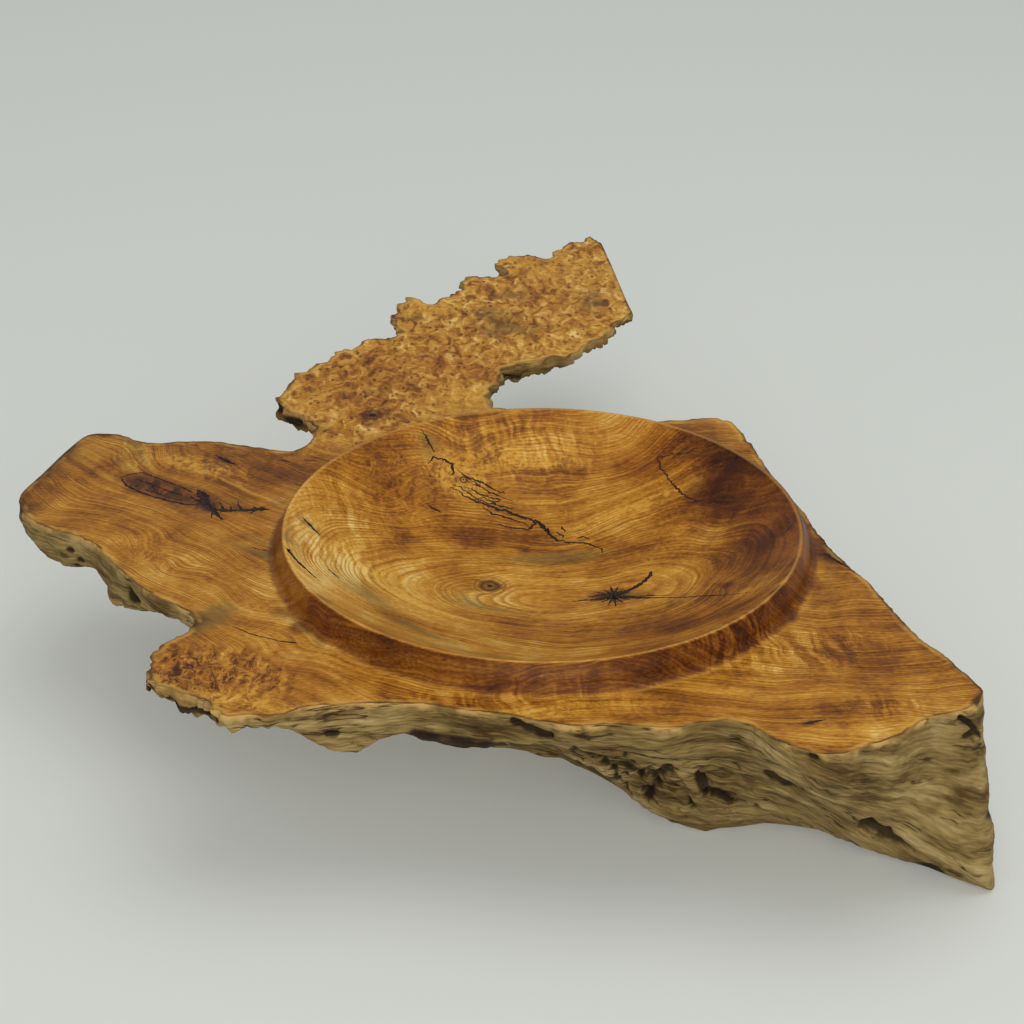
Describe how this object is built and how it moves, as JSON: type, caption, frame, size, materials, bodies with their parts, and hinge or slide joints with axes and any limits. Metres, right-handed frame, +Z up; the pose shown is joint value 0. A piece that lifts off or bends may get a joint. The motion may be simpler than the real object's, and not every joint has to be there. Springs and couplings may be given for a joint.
{
  "type": "live-edge maple burl dish",
  "caption": "Sawn slab of maple burl with natural knobbly edges and a shallow round raised-rim dish turned into its flat face; stands on a planed foot as a centrepiece.",
  "frame": {"origin": "where the axis of the dish meets the table, on the planed foot", "axes": "+Z up along the dish's axis, out of its mouth; +Y away from the long front edge, along the reaching arm; +X towards the thick corner that comes down to the table"},
  "size_m": [0.7139, 0.854, 0.17],
  "materials": {
    "maple_burl": "oiled and rubbed to a soft satin on the sawn face and in the dish, bare and weathered olive-brown on the natural sides"
  },
  "bodies": {
    "root": {"maple_burl": "maple_burl"}
  },
  "joints": []
}
